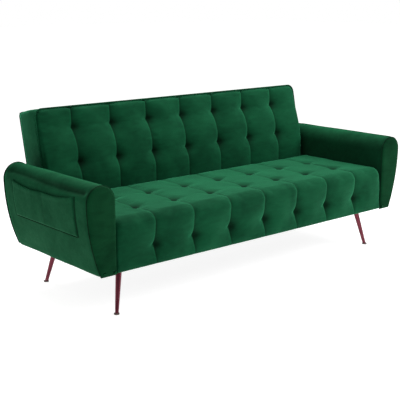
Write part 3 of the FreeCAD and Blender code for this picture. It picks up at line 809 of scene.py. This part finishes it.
def arm_outline(inset, step):
    """The arm's closed section as (x, z), starting at the inner foot corner and going up the inner side."""
    inner = arm_inner_x + inset
    foot = arm_foot_z + inset
    radius = arch_radius - inset
    up = [Vector((inner, foot)), Vector((inner, arch_z))]
    arch = [Vector((arm_middle_x - radius * math.cos(a), arch_z + radius * math.sin(a)))
            for a in (math.pi * k / 40.0 for k in range(41))]
    down = [Vector((side_x(z, inset), z)) for z in (arch_z + (foot - arch_z) * k / 30.0 for k in range(31))]
    floor = [Vector((side_x(foot, inset), foot)), Vector((inner, foot))]
    return walk(up, step)[:-1] + walk(arch, step * 0.8)[:-1] + walk(down, step)[:-1] + walk(floor, step)[:-1]


def rear_corner(point):
    """Rounds off the arm's rear foot."""
    radius = 0.026
    into = point.y - (arm_rear_y - radius)
    if into <= 0.0:
        return point
    lift = radius - math.sqrt(max(0.0, radius ** 2 - min(into, radius) ** 2))
    fade = 1.0 - smooth_step(arm_foot_z, arm_foot_z + 0.13, point.z)
    point.z += lift * 0.8 * fade
    return point


def make_arm_cover(side, sign):
    """The padded cover round an arm, with a soft dent below its rolled top."""
    outline = arm_outline(0.0, 0.009)
    y0, y1 = arm_front_y + 0.008, arm_rear_y - 0.008
    rings = 84

    def at(i, j):
        y = y0 + (y1 - y0) * i / rings
        k = j % len(outline)
        point = outline[k]
        out = outward(outline, k)
        swell = 0.0
        end = min(i, rings - i) / rings * (y1 - y0)
        swell -= 0.0035 * math.exp(-(end / 0.012) ** 2)
        turn = math.atan2(point.y - arch_z, point.x - arm_middle_x)
        if point.x > arm_middle_x and point.y > arm_foot_z + 0.1:
            dent = math.exp(-((turn - math.radians(36.0 + 5.0 * math.sin(y * 9.0))) / 0.20) ** 2)
            swell -= 0.0140 * dent * smooth_step(0.0, 0.05, end)
            swell += 0.0035 * math.exp(-((turn - math.radians(76.0)) / 0.40) ** 2)
        swell += soft_noise((point.x, y, point.y), 6.0, 0.0022, 2.0 + sign)
        point = point + out * swell
        return rear_corner(Vector((sign * point.x, y, point.y)))

    bm = grid_shape(rings, len(outline), at)
    bmesh.ops.remove_doubles(bm, verts=bm.verts, dist=weld_gap)
    turn_outward(bm, UP)
    bmesh.ops.solidify(bm, geom=bm.faces, thickness=0.010)
    piece = finish_piece("arm_upholstery_" + side, bm, emerald_arm, "base")
    # Painted shade: a dark band along the dent below the rolled top, darker towards the front, and a darker
    # inner side.
    layer = piece.data.attributes.new("painted_shade", "FLOAT", "POINT")
    for i, v in enumerate(piece.data.vertices):
        turn = math.degrees(math.atan2(v.co.z - arch_z, abs(v.co.x) - arm_inner_x - arch_radius))
        dent_shade = (0.50 + 0.25 * smooth_step(0.1, -0.3, v.co.y)) * math.exp(-((turn - 37.0) / 14.0) ** 2)
        inner = 0.62 * smooth_step(115.0, 175.0, turn if turn > -90.0 else turn + 360.0)
        layer.data[i].value = max(dent_shade, inner)
    one_subdivision(piece)
    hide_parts("arm_cover_" + side)
    return piece


def make_arm_end(side, sign, label, y_inner, y_outer):
    """The flat padded panel on one end of an arm."""
    outline = arm_outline(0.0015, 0.009)
    facing = 1.0 if y_outer > y_inner else -1.0
    bm = bmesh.new()
    ring = [bm.verts.new((sign * p.x, y_inner, p.y)) for p in outline]
    for a, b in zip(ring, ring[1:] + ring[:1]):
        bm.edges.new((a, b))
    face = bmesh.ops.contextual_create(bm, geom=bm.edges)["faces"]
    lifted = bmesh.ops.extrude_face_region(bm, geom=face)
    verts = [g for g in lifted["geom"] if isinstance(g, bmesh.types.BMVert)]
    bmesh.ops.translate(bm, verts=verts, vec=(0.0, (y_outer - y_inner) * 0.55, 0.0))
    cap = [g for g in lifted["geom"] if isinstance(g, bmesh.types.BMFace)]
    for thickness, depth in ((0.004, 0.0030), (0.007, 0.0018), (0.009, 0.0010)):
        bmesh.ops.inset_region(bm, faces=cap, thickness=thickness, depth=0.0, use_even_offset=False)
        inner = set(v for f in cap for v in f.verts)
        for v in inner:
            v.co.y += facing * depth
    bmesh.ops.triangulate(bm, faces=cap)
    bmesh.ops.recalc_face_normals(bm, faces=bm.faces)
    for v in bm.verts:
        v.co = rear_corner(v.co)
    name = "arm_" + label + "_end_" + side
    piece = finish_piece(name, bm, emerald_shade, "base")
    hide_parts("arm_" + label + "_panel_" + side)
    return piece


def make_arm_welt(side, sign, label, y):
    """The cord round one end of an arm's cover."""
    outline = arm_outline(0.0012, 0.008)
    points = [rear_corner(Vector((sign * p.x, y, p.y))) for p in outline]
    return make_tube("arm_welt_" + label + "_" + side, points, 0.0030, emerald_welt, "base", True)


def outer_face_x(z):
    """The arm's outer face at a height, round its rolled top too."""
    if z > arch_z:
        turn = math.asin(min(1.0, (z - arch_z) / arch_radius))
        return arm_middle_x + arch_radius * math.cos(turn)
    return side_x(z)


def make_pocket_edging(side, sign):
    """The cord sewn round a pocket panel's two ends and foot; its dark welt velvet lays painted shade along
    the pocket's edges.
    """
    top = pocket_mouth_z - 0.003
    corners = [(pocket_low.y, top, 0), (pocket_low.y, pocket_low.z, 0.006),
               (pocket_high.y, pocket_low.z, 0.006), (pocket_high.y, top, 0)]
    line = walk(rounded_path(corners), 0.008)
    points = [Vector((sign * (outer_face_x(z) - 0.0004), y, z)) for y, z in line]
    return make_tube("arm_pocket_edging_" + side, points, 0.0018, emerald_welt, "base")


def make_pocket(side, sign):
    """Two open-topped pockets sewn to the arm's outer side as one panel."""
    y0, y1 = pocket_low.y, pocket_high.y
    z0 = pocket_low.z
    width = y1 - y0
    columns, rows = 90, 30

    def mouth(t):
        ends = pocket_mouth_z + 0.008 * (1.0 - t)
        sag = 0.020 * math.sin(math.pi * t) ** 0.8 + 0.005 * abs(math.sin(2.0 * math.pi * t))
        return ends - sag

    def at(i, j):
        t, h = i / columns, j / rows
        y = y0 + width * t
        z = z0 + (mouth(t) - z0) * h
        face_x = outer_face_x(z)
        half = abs(math.sin(2.0 * math.pi * t)) ** 0.7
        seam = min(t * width, (1.0 - t) * width, h * (mouth(t) - z0))
        bulge = 0.0002 + (0.0040 + 0.0045 * half * h ** 1.5) * smooth_step(0.0, 0.012, seam)
        bulge += soft_noise((0.0, y, z), 14.0, 0.0018, 4.0 + sign) * smooth_step(0.0, 0.012, seam)
        bulge -= 0.0034 * math.exp(-(seam / 0.0035) ** 2)
        if rows - j < 4:
            bulge += 0.0012
        return Vector((sign * (face_x + bulge), y, z))

    bm = grid_shape(columns, rows, at)
    turn_outward(bm, Vector((sign, 0.0, 0.0)))
    piece = finish_piece("arm_pocket_panel_" + side, bm, emerald_arm, "base")
    thick = piece.modifiers.new("double cloth", "SOLIDIFY")
    thick.thickness = 0.0025
    thick.offset = -1.0
    # Painted shade along the pocket's two ends and foot, and a fainter painted line down its middle seam.
    layer = piece.data.attributes.new("painted_shade", "FLOAT", "POINT")
    for i, v in enumerate(piece.data.vertices):
        t = (v.co.y - y0) / width
        middle = 0.35 * math.exp(-((t - 0.5) * width / 0.004) ** 2)
        edge = min(t * width, (1.0 - t) * width, v.co.z - z0)
        layer.data[i].value = max(middle, 0.95 * math.exp(-(edge / 0.0065) ** 2))
    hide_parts("arm_pocket_" + side)
    return piece


# ---- Cloth and felt under the seat -----------------------------------------------------------------------
def make_underside():
    """The dust cover stapled under the seat frame, up its rear rail and just over it."""
    low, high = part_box("dust_cover")
    rail_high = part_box("base_rear_rail")[1]
    skin = 0.0006
    corners = [Vector(c) for c in ((low.y, high.z - skin), (rail_high.y + skin, high.z - skin),
                                   (rail_high.y + skin, rail_high.z + skin),
                                   (rail_high.y - 0.020, rail_high.z + skin))]
    line = [corners[0]]
    for start, end in zip(corners, corners[1:]):
        line += walk([start, end], 0.012)[1:]
    columns, rows = 90, len(line) - 1

    def at(i, j):
        x = low.x + (high.x - low.x) * i / columns
        y, z = line[j]
        inside = min(x - low.x, high.x - x, y - low.y, rail_high.y - 0.040 - y)
        sag = 0.0030 * smooth_step(0.0, 0.12, inside) + soft_noise((x, y, 0), 12.0, 0.0012, 1.0)
        return Vector((x, y, z - max(0.0, sag * smooth_step(0.0, 0.02, inside))))

    bm = grid_shape(columns, rows, at)
    turn_outward(bm, -UP)
    piece = finish_piece("underside_cloth", bm, lining, "base")
    thick = piece.modifiers.new("cloth", "SOLIDIFY")
    thick.thickness = 0.0006
    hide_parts("dust_cover")
    return piece


def make_felt():
    """The felt pad laid over the seat springs."""
    low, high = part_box("seat_felt")
    columns, rows = 90, 30

    def at(i, j):
        x = low.x + (high.x - low.x) * i / columns
        y = low.y + (high.y - low.y) * j / rows
        return Vector((x, y, high.z - 0.0002 - abs(soft_noise((x, y, 0), 16.0, 0.0008, 6.0))))

    bm = grid_shape(columns, rows, at)
    turn_outward(bm, UP)
    piece = finish_piece("spring_felt_pad", bm, felt, "base")
    thick = piece.modifiers.new("felt", "SOLIDIFY")
    thick.thickness = 0.0026
    thick.offset = -1.0
    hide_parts("seat_felt")
    return piece


# ---- Stage -----------------------------------------------------------------------------------------------
def make_stage():
    """A pale floor, a white surround and soft light from all round."""
    floor_mesh = bpy.data.meshes.new("floor")
    bm = bmesh.new()
    bmesh.ops.create_grid(bm, x_segments=1, y_segments=1, size=30.0)
    bm.to_mesh(floor_mesh)
    bm.free()
    floor = bpy.data.objects.new("floor", floor_mesh)
    bpy.context.scene.collection.objects.link(floor)
    paint = bpy.data.materials.new("pale_floor")
    paint.use_nodes = True
    surface = paint.node_tree.nodes["Principled BSDF"]
    surface.inputs["Base Color"].default_value = (0.60, 0.60, 0.60, 1.0)
    surface.inputs["Emission Color"].default_value = (1.0, 1.0, 1.0, 1.0)
    surface.inputs["Emission Strength"].default_value = 0.86
    surface.inputs["Roughness"].default_value = 0.9
    surface.inputs["Specular IOR Level"].default_value = 0.1
    floor_mesh.materials.append(paint)
    world = bpy.data.worlds.new("studio")
    bpy.context.scene.world = world
    world.use_nodes = True
    tree = world.node_tree
    sky = tree.nodes["Background"]
    sky.inputs["Color"].default_value = (1.0, 1.0, 1.0, 1.0)
    seen = tree.nodes.new("ShaderNodeLightPath")
    strength = tree.nodes.new("ShaderNodeMapRange")
    strength.inputs["To Min"].default_value = 0.31
    strength.inputs["To Max"].default_value = 1.0
    tree.links.new(seen.outputs["Is Camera Ray"], strength.inputs["Value"])
    tree.links.new(strength.outputs["Result"], sky.inputs["Strength"])
    bpy.context.scene.view_settings.view_transform = "Standard"


def make_light(name, place, target, size, power):
    """A rectangular lamp, turned to its target."""
    data = bpy.data.lights.new(name, "AREA")
    data.shape = "RECTANGLE"
    data.size, data.size_y = size
    data.energy = power
    light = bpy.data.objects.new(name, data)
    light.location = place
    light.rotation_euler = (Vector(target) - Vector(place)).to_track_quat("-Z", "Y").to_euler()
    bpy.context.scene.collection.objects.link(light)


def make_camera():
    data = bpy.data.cameras.new("camera")
    data.lens = 78.53
    data.sensor_width = 36.0
    camera = bpy.data.objects.new("camera", data)
    camera.location = (-2.951, -3.341, 1.381)
    camera.rotation_euler = (math.radians(90.0 - 13.31), 0.0, math.radians(-40.68))
    bpy.context.scene.collection.objects.link(camera)
    bpy.context.scene.camera = camera


make_camera()
make_stage()
make_light("overhead", (0.3, 0.4, 3.0), (0.1, 0.0, 0.4), (3.4, 2.2), 108.0)
make_light("right_front", (2.7, -2.5, 2.5), (0.6, 0.0, 0.45), (1.5, 1.5), 86.0)
make_light("left_side", (-3.4, -0.6, 1.7), (-0.8, 0.0, 0.4), (1.6, 1.6), 3.5)

finish_nodes()
make_seat()
make_back()
make_back_boxing()
make_back_welts()
make_back_cover()
for side, sign in SIDES:
    make_arm_cover(side, sign)
    make_arm_end(side, sign, "front", arm_front_y + end_panel_depth, arm_front_y)
    make_arm_end(side, sign, "rear", arm_rear_y - end_panel_depth, arm_rear_y)
    make_arm_welt(side, sign, "front", arm_front_y + end_welt_inset)
    make_arm_welt(side, sign, "rear", arm_rear_y - end_welt_inset)
    make_pocket(side, sign)
    make_pocket_edging(side, sign)
make_underside()
make_felt()
